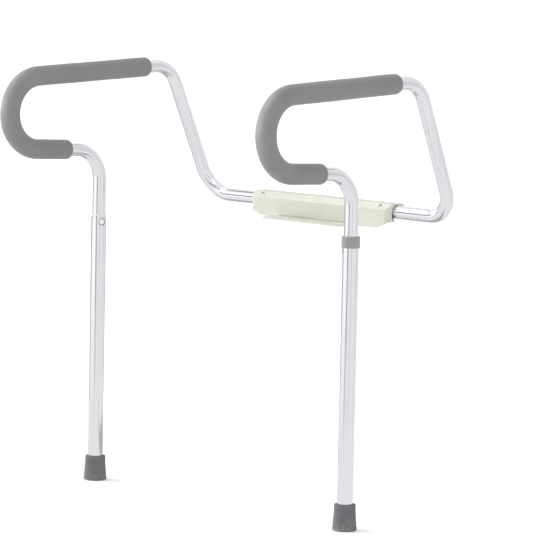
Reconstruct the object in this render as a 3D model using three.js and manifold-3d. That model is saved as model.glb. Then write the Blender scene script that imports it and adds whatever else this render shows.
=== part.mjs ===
// Toilet safety frame: a bracket that bolts under the toilet seat and carries two
// mirrored bent-tube arms with soft sleeves, telescoping legs and rubber feet.
// Units are millimetres, +Z is up, +Y is towards the cistern, +X is the user's left
// hand when seated. The origin is on the floor under the middle of the frame.

import * as THREE from 'three';
import { mergeVertices } from 'three/addons/utils/BufferGeometryUtils.js';
import Module from 'manifold-3d';

const wasm = await Module();
wasm.setup();

// ---------------------------------------------------------------- driving dimensions
// Arm tube
const TUBE_R = 11.1;            // outer radius, 22.2 mm (7/8 in) tube
const TUBE_RI = 9.85;           // inner radius, 1.25 mm wall
const LEG_X = 303.5;            // leg axis from the mirror plane
const LOWER_Z = 569.8;          // lower run axis height at the leg
const LOWER_SLOPE = 0.0386;     // lower run rises towards the front
const U_Y = -133.8;             // centre of the front bend
const UPPER_Z = 698.5;          // armrest axis height above the centre of the front bend
const UPPER_SLOPE = 0.0495;     // armrest rises towards the rear
const SPLAY_Y = -0.0265;        // arm plane opens towards the front, mm per mm
const SPLAY_Z = -0.0109;        // and towards the bottom
const REAR_Y = 153.3;           // corner between armrest and riser
const LAT_Y = 249.2;            // lateral tube axis
const LAT_Z = 486.4;
const LAT_IN = 7.8;             // the riser's foot stands in by this much
const R_ELBOW = 52.2, R_REAR = 49, R_LAT = 50.9;   // bend radii on the axis
const LAT_END_X = 58;           // inner end of the lateral tube
const LEG_IN_Z = 262;           // lower end of the arm tube inside the leg tube

// Sleeve
const GRIP_R = 16.8, GRIP_RI = 11.8;
const GRIP_REAR_Y = 101, GRIP_LOW_Y = -69.5;

// Leg
const LEG_R = 12.7, LEG_RI = 11.9;
const LEG_TOP_Z = 457.6, LEG_BOT_Z = 6.9;
const TIP_H = 42, TIP_R_BASE = 20, TIP_R_TOP = 17.4;
const HEIGHT_PITCH = 25.4;      // height detents
const BUTTON_Z = 310;           // height button axis
const BUTTON_R = 3.75;
const MOUTH_NUB_Z = 446.6, NUB_HOLE_R = 6.2, NUB_R = 4.5;   // nub of the mouth bush
const BUSH_SKIRT = 15.9;        // mouth bush below the leg tube's rim, clear of the top height hole
const COLLAR_Z0 = 452.5, COLLAR_Z1 = 471, COLLAR_R = 14.8;

// Bracket, Y measured from the lateral tube axis
const BR_HALF = 165;            // half length
const BR_Z0 = 460, BR_Z1 = 501; // underside and top
const BR_FRONT = -24, BR_REAR = 18;
const LOCK_X = 141;             // width lock station
const CAP_R = 2.7, CAP_DEPTH = 5.2;   // width button, and its depth below the shoulder
const CAP_Y = -17.96, CAP_Z = 9.09;   // its centre on the shoulder, from the tube axis
const WIDTH_PITCH = 12.7;       // width detents
const BASE_T = 3;
const TONGUE_X = 95, TONGUE_Y = -68;
const SLOT_X = 70, SLOT_Y = -47, SLOT_HALF = 16.5, SLOT_R = 4.6;

// The whole frame is centred on the floor point under its middle
const Y_FRONT = -212.2, Y_REAR = LAT_Y + BR_REAR;
const Y0 = -(Y_FRONT + Y_REAR) / 2;

// ---------------------------------------------------------------- helpers
function solid(geometry) {
  const g = geometry.clone();
  g.deleteAttribute('normal');
  g.deleteAttribute('uv');
  const m = mergeVertices(g, 1e-4);
  const index = Uint32Array.from(m.index.array);
  const p = m.attributes.position.array;
  let v = 0;
  for (let i = 0; i < index.length; i += 3) {
    const [a, b, c] = [index[i] * 3, index[i + 1] * 3, index[i + 2] * 3];
    v += p[a] * (p[b + 1] * p[c + 2] - p[b + 2] * p[c + 1])
       + p[a + 1] * (p[b + 2] * p[c] - p[b] * p[c + 2])
       + p[a + 2] * (p[b] * p[c + 1] - p[b + 1] * p[c]);
  }
  if (v < 0) for (let i = 0; i < index.length; i += 3) {
    const t = index[i]; index[i] = index[i + 1]; index[i + 1] = t;
  }
  return new wasm.Manifold(new wasm.Mesh({
    numProp: 3, vertProperties: Float32Array.from(p), triVerts: index,
  }));
}

function geometry(manifold) {
  const mesh = manifold.getMesh();
  const g = new THREE.BufferGeometry();
  g.setAttribute('position', new THREE.BufferAttribute(mesh.vertProperties, 3));
  g.setIndex(new THREE.BufferAttribute(mesh.triVerts, 1));
  return g;
}

// Closed polygon extruded along +X from x0 to x1; points are [y, z]
function prismX(points, x0, x1, holes = []) {
  const s = new THREE.Shape(points.map(([y, z]) => new THREE.Vector2(y, z)));
  for (const h of holes) s.holes.push(new THREE.Path(h.map(([y, z]) => new THREE.Vector2(y, z))));
  const g = new THREE.ExtrudeGeometry(s, { depth: x1 - x0, bevelEnabled: false });
  const m = new THREE.Matrix4().makeBasis(
    new THREE.Vector3(0, 1, 0), new THREE.Vector3(0, 0, 1), new THREE.Vector3(1, 0, 0));
  m.setPosition(x0, 0, 0);
  return g.applyMatrix4(m);
}

// Closed polygon extruded along +Z; points are [x, y]
function prismZ(points, z0, z1, holes = []) {
  const s = new THREE.Shape(points.map(([x, y]) => new THREE.Vector2(x, y)));
  for (const h of holes) s.holes.push(new THREE.Path(h.map(([x, y]) => new THREE.Vector2(x, y))));
  const g = new THREE.ExtrudeGeometry(s, { depth: z1 - z0, bevelEnabled: false });
  return g.translate(0, 0, z0);
}

function circle(r, n, cx = 0, cy = 0, start = 0) {
  return Array.from({ length: n }, (_, i) => {
    const a = start + (2 * Math.PI * i) / n;
    return [cx + r * Math.cos(a), cy + r * Math.sin(a)];
  });
}

function stadium(cx, cy, half, r, n = 8) {
  const out = [];
  for (let i = 0; i <= n; i++) {
    const a = -Math.PI / 2 + (Math.PI * i) / n;
    out.push([cx + half - r + r * Math.cos(a), cy + r * Math.sin(a)]);
  }
  for (let i = 0; i <= n; i++) {
    const a = Math.PI / 2 + (Math.PI * i) / n;
    out.push([cx - half + r + r * Math.cos(a), cy + r * Math.sin(a)]);
  }
  return out;
}

// Cylinder between two points
function rod(a, b, r, n = 20) {
  const va = new THREE.Vector3(...a), vb = new THREE.Vector3(...b);
  const g = new THREE.CylinderGeometry(r, r, va.distanceTo(vb), n);
  const q = new THREE.Quaternion().setFromUnitVectors(
    new THREE.Vector3(0, 1, 0), vb.clone().sub(va).normalize());
  g.applyQuaternion(q);
  const mid = va.add(vb).multiplyScalar(0.5);
  return g.translate(mid.x, mid.y, mid.z);
}

// Turned piece about a vertical axis; profile is [r, z] pairs
function turned(profile, n, x = 0, y = 0) {
  const pts = profile.map(([r, z]) => new THREE.Vector2(r, z));
  const g = new THREE.LatheGeometry(pts, n);
  g.applyMatrix4(new THREE.Matrix4().makeRotationX(Math.PI / 2));
  return g.translate(x, y, 0);
}

// A curve that passes its stations one by one, so that straights need no extra steps
class Stations extends THREE.Curve {
  constructor(points, tangents) { super(); this.points = points; this.tangents = tangents; }
  at(list, u) {
    const f = Math.min(Math.max(u, 0), 1) * (list.length - 1);
    const i = Math.min(Math.floor(f + 1e-9), list.length - 2);
    return list[i].clone().lerp(list[i + 1], f - i);
  }
  getPoint(t) { return this.at(this.points, t); }
  getPointAt(u) { return this.at(this.points, u); }
  getTangentAt(u) { return this.at(this.tangents, u).normalize(); }
}

function sweep(stations, sides, holeR, r) {
  const shape = new THREE.Shape(circle(r, sides, 0, 0, Math.PI / sides)
    .map(([x, y]) => new THREE.Vector2(x, y)));
  if (holeR) shape.holes.push(new THREE.Path(circle(holeR, Math.round(sides * 0.75))
    .map(([x, y]) => new THREE.Vector2(x, y))));
  const curve = new Stations(stations.map((s) => s.p), stations.map((s) => s.t));
  return new THREE.ExtrudeGeometry(shape, { steps: stations.length - 1, extrudePath: curve });
}

// Stations of a tangent arc of radius r that rounds corner B between A and C
function bend(A, B, C, r, n) {
  const u = A.clone().sub(B).normalize(), v = C.clone().sub(B).normalize();
  const ang = u.angleTo(v), t = r / Math.tan(ang / 2);
  const cen = B.clone().addScaledVector(u.clone().add(v).normalize(), r / Math.sin(ang / 2));
  const e1 = B.clone().addScaledVector(u, t).sub(cen).divideScalar(r);
  const e2 = u.clone().negate();
  const turn = Math.PI - ang, out = [];
  for (let i = 0; i <= n; i++) {
    const a = (turn * i) / n;
    out.push({
      p: cen.clone().addScaledVector(e1, r * Math.cos(a)).addScaledVector(e2, r * Math.sin(a)),
      t: e1.clone().multiplyScalar(-Math.sin(a)).addScaledVector(e2, Math.cos(a)).normalize(),
    });
  }
  return out;
}

const group = new THREE.Group();
group.position.y = Y0;
function add(name, geom, color, roughness, metalness) {
  const material = new THREE.MeshStandardMaterial({ color, roughness, metalness });
  const mesh = new THREE.Mesh(geom, material);
  mesh.name = name;
  group.add(mesh);
  return mesh;
}
const ALU = [0xd4d6da, 0.18, 1.0], VINYL = [0x85898a, 0.55, 0.0], RUBBER = [0x6e6c70, 0.8, 0.0];
const CREAM = [0xe6e8da, 0.4, 0.0], STEEL = [0xb4b6ba, 0.3, 1.0], GREY = [0x8c8c8a, 0.5, 0.0];
const NYLON = [0xd8d8d2, 0.5, 0.0];

// ---------------------------------------------------------------- arm centre line (for +X)
const V = (x, y, z) => new THREE.Vector3(x, y, z);
const armX = (y, z) => LEG_X + SPLAY_Y * y + SPLAY_Z * (z - LOWER_Z);
const armP = (y, z) => V(armX(y, z), y, z);
const lowAng = Math.atan(-LOWER_SLOPE), upAng = Math.atan(UPPER_SLOPE);
const lowAtU = LOWER_Z - LOWER_SLOPE * U_Y;
const cl = Math.cos(lowAng), cu = Math.cos(upAng);
const U_Z = (lowAtU * cl + UPPER_Z * cu) / (cl + cu);
const U_R = (U_Z - lowAtU) * cl;
const rearZ = UPPER_Z + UPPER_SLOPE * (REAR_Y - U_Y);
const upperAt = (y) => armP(y, UPPER_Z + UPPER_SLOPE * (y - U_Y));
const lowerAt = (y) => armP(y, LOWER_Z - LOWER_SLOPE * y);

function uBend(n) {
  const a0 = Math.atan2(-Math.cos(lowAng), Math.sin(lowAng));
  const a1 = Math.atan2(Math.cos(upAng), -Math.sin(upAng)) - 2 * Math.PI;
  const out = [];
  for (let i = 0; i <= n; i++) {
    const a = a0 + ((a1 - a0) * i) / n;
    const p = armP(U_Y + U_R * Math.cos(a), U_Z + U_R * Math.sin(a));
    const d = 1e-3, q = armP(U_Y + U_R * Math.cos(a - d), U_Z + U_R * Math.sin(a - d));
    out.push({ p, t: q.sub(p).normalize() });
  }
  return out;
}
const straight = (p, q) => ({ p, t: q.clone().sub(p).normalize() });
const legFoot = V(LEG_X, 0, LEG_IN_Z), elbow = V(LEG_X, 0, LOWER_Z);
const U = uBend(14);
const rearCorner = armP(REAR_Y, rearZ);
const latCorner = V(armX(LAT_Y, LAT_Z) - LAT_IN, LAT_Y, LAT_Z);
const latEnd = V(LAT_END_X, LAT_Y, LAT_Z);
const armLine = [
  straight(legFoot, elbow),
  ...bend(legFoot, elbow, U[0].p, R_ELBOW, 7),
  ...U,
  ...bend(U[U.length - 1].p, rearCorner, latCorner, R_REAR, 6),
  ...bend(rearCorner, latCorner, latEnd, R_LAT, 8),
  { p: latEnd, t: V(-1, 0, 0) },
];
const gripLine = [
  { p: lowerAt(GRIP_LOW_Y), t: U[0].p.clone().sub(lowerAt(GRIP_LOW_Y)).normalize() },
  ...U,
  { p: upperAt(GRIP_REAR_Y), t: upperAt(GRIP_REAR_Y).sub(U[U.length - 1].p).normalize() },
];
const mirror = (s) => (list) => s > 0 ? list
  : list.map(({ p, t }) => ({ p: V(-p.x, p.y, p.z), t: V(-t.x, t.y, t.z) }));

// ---------------------------------------------------------------- one side of the frame
// Bracket outline in plan, inset by t: its front corners are well rounded
function planOutline(t) {
  const r = 10 - t, q = 4 - t, out = [];
  const arc = (cx, cy, rr, a0) => {
    for (let k = 0; k <= 8; k++) {
      const a = a0 + (Math.PI / 2) * (k / 8);
      out.push([cx + rr * Math.cos(a), cy + rr * Math.sin(a)]);
    }
  };
  arc(-BR_HALF + 10, LAT_Y + BR_FRONT + 10, r, Math.PI);
  arc(BR_HALF - 10, LAT_Y + BR_FRONT + 10, r, 1.5 * Math.PI);
  arc(BR_HALF - 4, LAT_Y + BR_REAR - 4, q, 0);
  arc(-BR_HALF + 4, LAT_Y + BR_REAR - 4, q, Math.PI / 2);
  return out;
}

for (const [side, s] of [['left', -1], ['right', 1]]) {
  const m = mirror(s), x = s * LEG_X;

  // Arm tube: one bent tube, open at both ends, with the height button's hole in its
  // lower end and a row of seven width holes under the lateral run
  let arm = solid(sweep(m(armLine), 16, TUBE_RI, TUBE_R));
  arm = arm.subtract(solid(rod([x, 4, BUTTON_Z], [x, 16, BUTTON_Z], BUTTON_R + 0.5, 12)));
  for (let k = -2; k <= 4; k++) {
    const hx = s * (LOCK_X + k * WIDTH_PITCH);
    arm = arm.subtract(solid(rod([hx, LAT_Y, LAT_Z - 16], [hx, LAT_Y, LAT_Z - 4], 3.1, 10)));
  }
  add(`arm_tube_${side}`, geometry(arm), ...ALU);

  // Sleeve over the armrest, the front bend and the start of the lower run
  add(`grip_${side}`, sweep(m(gripLine), 16, GRIP_RI, GRIP_R), ...VINYL);

  // Plug that closes the lateral tube's inner end
  add(`tube_plug_${side}`, (() => {
    const ex = s * LAT_END_X;
    const head = rod([ex - s * 0.4, LAT_Y, LAT_Z], [ex - s * 3.4, LAT_Y, LAT_Z], 10.9, 24);
    const stem = rod([ex - s * 1, LAT_Y, LAT_Z], [ex + s * 14, LAT_Y, LAT_Z], 9.3, 20);
    return geometry(solid(head).add(solid(stem)));
  })(), ...NYLON);

  // Glide plug at the arm tube's lower end, a running fit in the leg tube
  add(`leg_glide_${side}`, turned([
    [0, LEG_IN_Z - 5], [10.6, LEG_IN_Z - 5], [11.5, LEG_IN_Z - 4], [11.5, LEG_IN_Z - 0.4],
    [9.4, LEG_IN_Z - 0.4], [9.2, LEG_IN_Z + 15], [0, LEG_IN_Z + 16],
  ], 16, x, 0), ...NYLON);

  // Height button: flanged steel button that springs out through both tubes to the rear
  add(`height_button_${side}`, (() => {
    const g = new THREE.LatheGeometry([
      [0, 5.2], [4.6, 5.2], [4.6, 7.6], [BUTTON_R, 7.6], [BUTTON_R, 14], [3.0, 15.2],
      [1.6, 15.9], [0, 16.1],
    ].map(([r, h]) => new THREE.Vector2(r, h)), 14);
    return g.translate(x, 0, BUTTON_Z);
  })(), ...STEEL);

  // Bent leaf that pushes the height button out
  add(`height_spring_${side}`, (() => {
    const t = 0.35, z = BUTTON_Z, h = 30;
    const line = [[4.5, z - 6], [4.5, z + 4], [2.2, z + h - 6], [0.6, z + h - 1.2],
      [-0.6, z + h], [-1.8, z + h - 1.2], [-5.2, z + 6], [-8.4, z - 6]];
    const a = [], b = [];
    line.forEach(([y, zz], i) => {
      const p = line[Math.max(i - 1, 0)], q = line[Math.min(i + 1, line.length - 1)];
      const n = new THREE.Vector2(q[1] - p[1], -(q[0] - p[0])).normalize().multiplyScalar(t);
      a.push([y + n.x, zz + n.y]); b.unshift([y - n.x, zz - n.y]);
    });
    return prismX([...a, ...b], x - 2.5, x + 2.5);
  })(), ...STEEL);

  // Leg tube with seven height holes at the rear and the mouth bush's nub hole inboard
  const nub = new THREE.Vector2(-s * 0.978, -0.208);
  let leg = solid(prismZ(circle(LEG_R, 24, x, 0), LEG_BOT_Z, LEG_TOP_Z, [circle(LEG_RI, 20, x, 0)]));
  for (let k = -1; k <= 5; k++) {
    const z = BUTTON_Z + k * HEIGHT_PITCH;
    leg = leg.subtract(solid(rod([x, 6, z], [x, 18, z], BUTTON_R + 0.5, 12)));
  }
  leg = leg.subtract(solid(rod([x + nub.x * 6, nub.y * 6, MOUTH_NUB_Z],
    [x + nub.x * 18, nub.y * 18, MOUTH_NUB_Z], NUB_HOLE_R)));
  add(`leg_tube_${side}`, geometry(leg), ...ALU);

  // Thin bush in the leg tube's mouth: a lip on the rim and a nub through the inboard hole,
  // set high and to the front in it
  let bush = solid(turned([
    [11.35, LEG_TOP_Z - BUSH_SKIRT], [11.6, LEG_TOP_Z - BUSH_SKIRT], [11.6, LEG_TOP_Z + 0.3],
    [13.3, LEG_TOP_Z + 0.3], [13.3, LEG_TOP_Z + 1.7], [12.7, LEG_TOP_Z + 2.4],
    [11.35, LEG_TOP_Z + 2.4], [11.35, LEG_TOP_Z - BUSH_SKIRT]], 24, x, 0));
  const nx = -s * 0.208 * -0.9, ny = 0.978 * -0.9;
  let nubSolid = solid(rod([x + nub.x * 11.45 + nx, nub.y * 11.45 + ny, MOUTH_NUB_Z + 1],
    [x + nub.x * 14.6 + nx, nub.y * 14.6 + ny, MOUTH_NUB_Z + 1], NUB_R, 20));
  nubSolid = nubSolid.subtract(solid(prismZ(circle(11.4, 24, x, 0), MOUTH_NUB_Z - 9, MOUTH_NUB_Z + 9)));
  add(`leg_bush_${side}`, geometry(bush.add(nubSolid)), ...NYLON);

  // Rubber tip with a flat sole and a blind socket for the leg tube
  add(`rubber_tip_${side}`, turned([
    [0, 0], [TIP_R_BASE - 0.6, 0], [TIP_R_BASE, 0.8], [TIP_R_BASE, 4.2], [TIP_R_BASE - 0.9, 5.4],
    [TIP_R_TOP + 0.4, 28], [TIP_R_TOP, 34], [TIP_R_TOP, TIP_H - 3], [TIP_R_TOP - 0.9, TIP_H - 1],
    [TIP_R_TOP - 2.4, TIP_H], [13.0, TIP_H], [13.0, 5], [0, 5],
  ], 24, x, 0), ...RUBBER);

  // Steel washer under the tube's end, inside the tip
  add(`tip_washer_${side}`, prismZ(circle(12.4, 20, x, 0), 5.3, 6.6), ...STEEL);

  // ---- bracket pieces of this side
  // Width lock rocker: pivots in front of the tube, its pin rises into the tube's underside
  const PY = LAT_Y - 15.2, PZ = LAT_Z - 9.5;
  const lx0 = s * LOCK_X - 1.5, lx1 = lx0 + 3;
  let rocker = solid(prismX([
    [LAT_Y - 17.4, LAT_Z + 5.4], [LAT_Y - 18.2, LAT_Z - 8.5], [LAT_Y - 17.4, LAT_Z - 12.0],
    [LAT_Y - 13.6, LAT_Z - 17.0], [LAT_Y + 3.2, LAT_Z - 17.0], [LAT_Y + 3.2, LAT_Z - 14.3],
    [LAT_Y - 10.4, LAT_Z - 14.3], [LAT_Y - 12.3, LAT_Z - 11.0], [LAT_Y - 12.6, LAT_Z - 7.0],
    [LAT_Y - 14.4, LAT_Z - 5.0], [LAT_Y - 15.0, LAT_Z + 5.4],
  ], lx0, lx1));
  rocker = rocker.add(solid(rod([s * LOCK_X, LAT_Y, LAT_Z - 15], [s * LOCK_X, LAT_Y, LAT_Z - 9.4], 2.5, 16)));
  rocker = rocker.subtract(solid(rod([lx0 - 2, PY, PZ], [lx1 + 2, PY, PZ], 1.85, 18)));
  add(`lock_rocker_${side}`, geometry(rocker), ...STEEL);

  // Button cap on the rocker's upper end, showing in the housing's sloping shoulder
  const SH = [LAT_Y + CAP_Y, LAT_Z + CAP_Z], N = [-Math.SQRT1_2, Math.SQRT1_2];
  let cap = solid(rod([s * LOCK_X, SH[0] - N[0] * CAP_DEPTH, SH[1] - N[1] * CAP_DEPTH],
    [s * LOCK_X, SH[0] + N[0] * 0.2, SH[1] + N[1] * 0.2], CAP_R, 24));
  // with a flange that keeps the opening covered from inside
  const FL = [SH[0] + 0.64, SH[1] + 0.64];
  cap = cap.add(solid(rod([s * LOCK_X, FL[0] - N[0] * 4.4, FL[1] - N[1] * 4.4],
    [s * LOCK_X, FL[0] - N[0] * 3.0, FL[1] - N[1] * 3.0], 4.5, 24)));
  cap = cap.subtract(solid(prismX([
    [LAT_Y - 18.9, LAT_Z - 2], [LAT_Y - 13.0, LAT_Z - 2], [LAT_Y - 14.6, LAT_Z + 5.8],
    [LAT_Y - 17.8, LAT_Z + 5.8]], lx0 - 0.35, lx1 + 0.35)));
  add(`lock_button_${side}`, geometry(cap), ...CREAM);

  add(`rocker_pivot_${side}`, rod([s * (LOCK_X - 7), PY, PZ], [s * (LOCK_X + 7), PY, PZ], 1.5, 16), ...STEEL);

  // Torsion spring on the pivot pin beside the rocker: one leg bears on the front wall,
  // the other lifts the rocker's lower arm
  add(`lock_spring_${side}`, (() => {
    const turns = 2.5, n = 36, r = 2.5, w = 0.3, x0 = s * (LOCK_X + 2), x1 = s * (LOCK_X + 4);
    const stations = [];
    for (let i = 0; i <= n; i++) {
      const a = -Math.PI / 2 + (2 * Math.PI * turns * i) / n;
      stations.push({
        p: V(x0 + ((x1 - x0) * i) / n, PY + r * Math.cos(a), PZ + r * Math.sin(a)),
        t: V((x1 - x0) / (2 * Math.PI * turns), -r * Math.sin(a), r * Math.cos(a)).normalize(),
      });
    }
    let spring = solid(sweep(stations, 6, 0, w));
    const low = [LAT_Y - 6, LAT_Z - 17.7];
    spring = spring.add(solid(rod([x0, PY - 0.2, PZ - r], [x0, ...low], w, 8)));
    spring = spring.add(solid(rod([x0 + s * 0.25, ...low], [s * (LOCK_X - 1.4), ...low], w, 8)));
    return geometry(spring.add(solid(rod([x1, PY + 0.2, PZ + r], [x1, LAT_Y - 19.8, PZ + r], w, 8))));
  })(), ...STEEL);

  // End bush behind the housing's end wall. Its underside is cut away on the skew behind the
  // tube, and a closed pocket lies at the lower front of its bore.
  const e0 = s > 0 ? BR_HALF - 15 : -BR_HALF + 2.8, e1 = e0 + 12.2;
  let bushBlock = solid(prismX([
    [LAT_Y - 20.4, LAT_Z - 14.0], [LAT_Y + 15.2, LAT_Z - 14.0], [LAT_Y + 15.2, LAT_Z + 8.4],
    [LAT_Y + 11.7, LAT_Z + 11.85], [LAT_Y - 11.2, LAT_Z + 11.85], [LAT_Y - 19.0, LAT_Z + 3.9],
  ], e0, e1));
  bushBlock = bushBlock.intersect(solid(prismZ(planOutline(2.8), BR_Z0, BR_Z1)));
  bushBlock = bushBlock.subtract(solid(rod([e0 - 1, LAT_Y, LAT_Z], [e1 + 1, LAT_Y, LAT_Z], TUBE_R + 0.35, 32)));
  bushBlock = bushBlock.subtract(solid(prismZ([
    [s * (BR_HALF - 2), LAT_Y - 5.8], [s * (BR_HALF - 15.5), LAT_Y + 7.2],
    [s * (BR_HALF - 15.5), LAT_Y + 20], [s * (BR_HALF - 2), LAT_Y + 20],
  ], LAT_Z - 16, LAT_Z - 5)));
  bushBlock = bushBlock.subtract(solid(prismZ([
    [s * (BR_HALF - 2), LAT_Y - 12.4], [s * (BR_HALF - 2), LAT_Y - 8.6],
    [s * (BR_HALF - 12.8), LAT_Y + 1.8], [s * (BR_HALF - 12.8), LAT_Y - 12.4],
  ], LAT_Z - 12.2, LAT_Z - 3)));
  add(`end_bush_${side}`, geometry(bushBlock), ...CREAM);
}

// Plastic collar over the mouth of the right leg tube
add('leg_collar_right', turned([
  [13.0, COLLAR_Z0 + 0.4], [13.4, COLLAR_Z0], [COLLAR_R - 0.6, COLLAR_Z0], [COLLAR_R, COLLAR_Z0 + 0.7],
  [COLLAR_R, COLLAR_Z1 - 0.9], [COLLAR_R - 0.9, COLLAR_Z1], [11.5, COLLAR_Z1],
  [11.5, LEG_TOP_Z + 3], [13.65, LEG_TOP_Z + 3], [13.65, LEG_TOP_Z - 0.3], [13.0, LEG_TOP_Z - 0.3],
  [13.0, COLLAR_Z0 + 0.4]], 24, LEG_X, 0), ...GREY);

// ---------------------------------------------------------------- bracket housing
const yl = (y) => LAT_Y + y;
// Moulded channel, open below: front wall, sloping shoulder, top and rear wall, with rounded
// corners in plan and an end wall round each tube
let housing = solid(prismX([
  [yl(BR_FRONT), BR_Z0], [yl(-22.2), 490.6], [yl(-21.6), 491.8], [yl(-13.2), 500.3], [yl(-12), BR_Z1],
  [yl(13), BR_Z1], [yl(16.6), 499.4], [yl(BR_REAR), 496], [yl(BR_REAR), BR_Z0],
], -BR_HALF, BR_HALF)).intersect(solid(prismZ(planOutline(0), BR_Z0, BR_Z1 + 1)));
housing = housing.subtract(solid(prismX([
  [yl(-21.65), BR_Z0 - 1], [yl(-19.6), 490.2], [yl(-11.3), 498.6], [yl(12), 498.6],
  [yl(BR_REAR - 2.4), 495.2], [yl(BR_REAR - 2.4), BR_Z0 - 1],
], -BR_HALF, BR_HALF)).intersect(solid(prismZ(planOutline(2.4), BR_Z0 - 2, BR_Z1 + 1))));
// Way out for each tube through the end wall: round, square at the lower front
housing = housing.subtract(solid(rod([-BR_HALF - 1, LAT_Y, LAT_Z], [-150, LAT_Y, LAT_Z], TUBE_R + 0.8, 32)));
housing = housing.subtract(solid(rod([150, LAT_Y, LAT_Z], [BR_HALF + 1, LAT_Y, LAT_Z], TUBE_R + 0.8, 32)));
for (const [p, q] of [[-BR_HALF - 1, -BR_HALF + 3], [BR_HALF - 3, BR_HALF + 1]]) {
  housing = housing.subtract(solid(prismX([
    [yl(-11.9), LAT_Z - 12.2], [yl(-3), LAT_Z - 12.2], [yl(-3), LAT_Z - 1], [yl(-11.9), LAT_Z - 1],
  ], p, q)));
}
for (const s of [-1, 1]) {
  // Underside rises towards each end
  housing = housing.subtract(solid(prismZ([
    [s * 141, 0], [s * 175, 0], [s * 175, 15.6],
  ].sort(() => 0), 0, 1).applyMatrix4(new THREE.Matrix4().makeBasis(
    V(1, 0, 0), V(0, 0, 1), V(0, 80, 0)).setPosition(0, yl(-40), BR_Z0))));
  // The rear wall is cut away under the tube's way out
  housing = housing.subtract(solid(prismZ([
    [s * 108, 0], [s * 137, 14.5], [s * 166, 15.5], [s * 166, -1], [s * 108, -1],
  ], 0, 1).applyMatrix4(new THREE.Matrix4().makeBasis(
    V(1, 0, 0), V(0, 0, 1), V(0, 30, 0)).setPosition(0, yl(-5), BR_Z0))));
  // Button opening in the shoulder, longer along the slope than across it
  const c = [yl(CAP_Y), LAT_Z + CAP_Z], N = [-Math.SQRT1_2, Math.SQRT1_2], T = [Math.SQRT1_2, Math.SQRT1_2];
  for (const d of [0, 1.2, 2.4]) {
    const q = [c[0] + T[0] * d, c[1] + T[1] * d];
    housing = housing.subtract(solid(rod([s * LOCK_X, q[0] - N[0] * 5, q[1] - N[1] * 5],
      [s * LOCK_X, q[0] + N[0] * 5, q[1] + N[1] * 5], CAP_R + 0.45, 24)));
  }
  // Ribs that carry the rocker's pivot pin
  for (const dx of [-5.8, 5.8]) {
    let rib = solid(prismX([
      [yl(-21.9), LAT_Z - 13.0], [yl(-12.4), LAT_Z - 13.0], [yl(-12.4), LAT_Z - 6.0], [yl(-21.4), LAT_Z - 2.0],
    ], s * LOCK_X + dx - 1.1, s * LOCK_X + dx + 1.1));
    housing = housing.add(rib);
  }
  housing = housing.subtract(solid(rod([s * (LOCK_X - 7.4), yl(-15.2), LAT_Z - 9.5],
    [s * (LOCK_X + 7.4), yl(-15.2), LAT_Z - 9.5], 1.8, 18)));
  // Screw bosses along the front wall
  for (const bx of [30, 112]) {
    let boss = solid(prismX([
      [yl(-22.0), BR_Z0 + BASE_T + 0.4], [yl(-12.6), BR_Z0 + BASE_T + 0.4], [yl(-12.6), 481], [yl(-16), 493],
      [yl(-20.2), 489.6]], s * bx - 4, s * bx + 4));
    boss = boss.subtract(solid(rod([s * bx, yl(-16.6), BR_Z0], [s * bx, yl(-16.6), 476], 1.8, 16)));
    housing = housing.add(boss);
  }
}
// The front wall is relieved over the base plate's tongue
housing = housing.subtract(solid(prismZ([
  [-TONGUE_X - 0.4, yl(-40)], [TONGUE_X + 0.4, yl(-40)], [TONGUE_X + 0.4, yl(-19)], [-TONGUE_X - 0.4, yl(-19)],
], BR_Z0 - 1, BR_Z0 + BASE_T + 0.4)));
add('bracket_housing', geometry(housing), ...CREAM);

// ---------------------------------------------------------------- bracket base plate
let base = solid(prismZ([
  [-137, yl(-21.2)], [-TONGUE_X, yl(-21.2)], [-TONGUE_X, yl(TONGUE_Y + 14)],
  [-TONGUE_X + 4, yl(TONGUE_Y + 4)], [-TONGUE_X + 14, yl(TONGUE_Y)],
  [TONGUE_X - 14, yl(TONGUE_Y)], [TONGUE_X - 4, yl(TONGUE_Y + 4)],
  [TONGUE_X, yl(TONGUE_Y + 14)], [TONGUE_X, yl(-21.2)], [137, yl(-21.2)],
  [106.5, yl(11.4)], [103, yl(15.2)], [-103, yl(15.2)], [-106.5, yl(11.4)],
], BR_Z0, BR_Z0 + BASE_T, [
  stadium(SLOT_X, yl(SLOT_Y), SLOT_HALF, SLOT_R), stadium(-SLOT_X, yl(SLOT_Y), SLOT_HALF, SLOT_R),
]));
// Ribs under the tubes, and a web between their inner ends
for (const sx of [-104, -88, 88, 104]) {
  base = base.add(solid(prismX([
    [yl(-11), BR_Z0 + 1], [yl(11), BR_Z0 + 1], [yl(11), LAT_Z - 5], [yl(-11), LAT_Z - 5],
  ], sx - 1.5, sx + 1.5)).subtract(solid(rod([sx - 4, yl(0), LAT_Z], [sx + 4, yl(0), LAT_Z], TUBE_R + 0.5, 28))));
}
base = base.add(solid(prismX([
  [yl(-11), BR_Z0 + 1], [yl(11), BR_Z0 + 1], [yl(11), LAT_Z + 8], [yl(-11), LAT_Z + 8],
], -1.5, 1.5)));
// Countersunk screw holes
const SCREW_X = [-112, -30, 30, 112];
for (const bx of SCREW_X) {
  base = base.subtract(solid(rod([bx, yl(-16.6), BR_Z0 - 2], [bx, yl(-16.6), BR_Z0 + 6], 1.9, 16)));
  const sink = new THREE.CylinderGeometry(1.9, 3.9, 2.4, 20);
  sink.applyMatrix4(new THREE.Matrix4().makeRotationX(Math.PI / 2));
  base = base.subtract(solid(sink.translate(bx, yl(-16.6), BR_Z0 + 1)));
}
add('bracket_base', geometry(base), ...CREAM);

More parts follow.
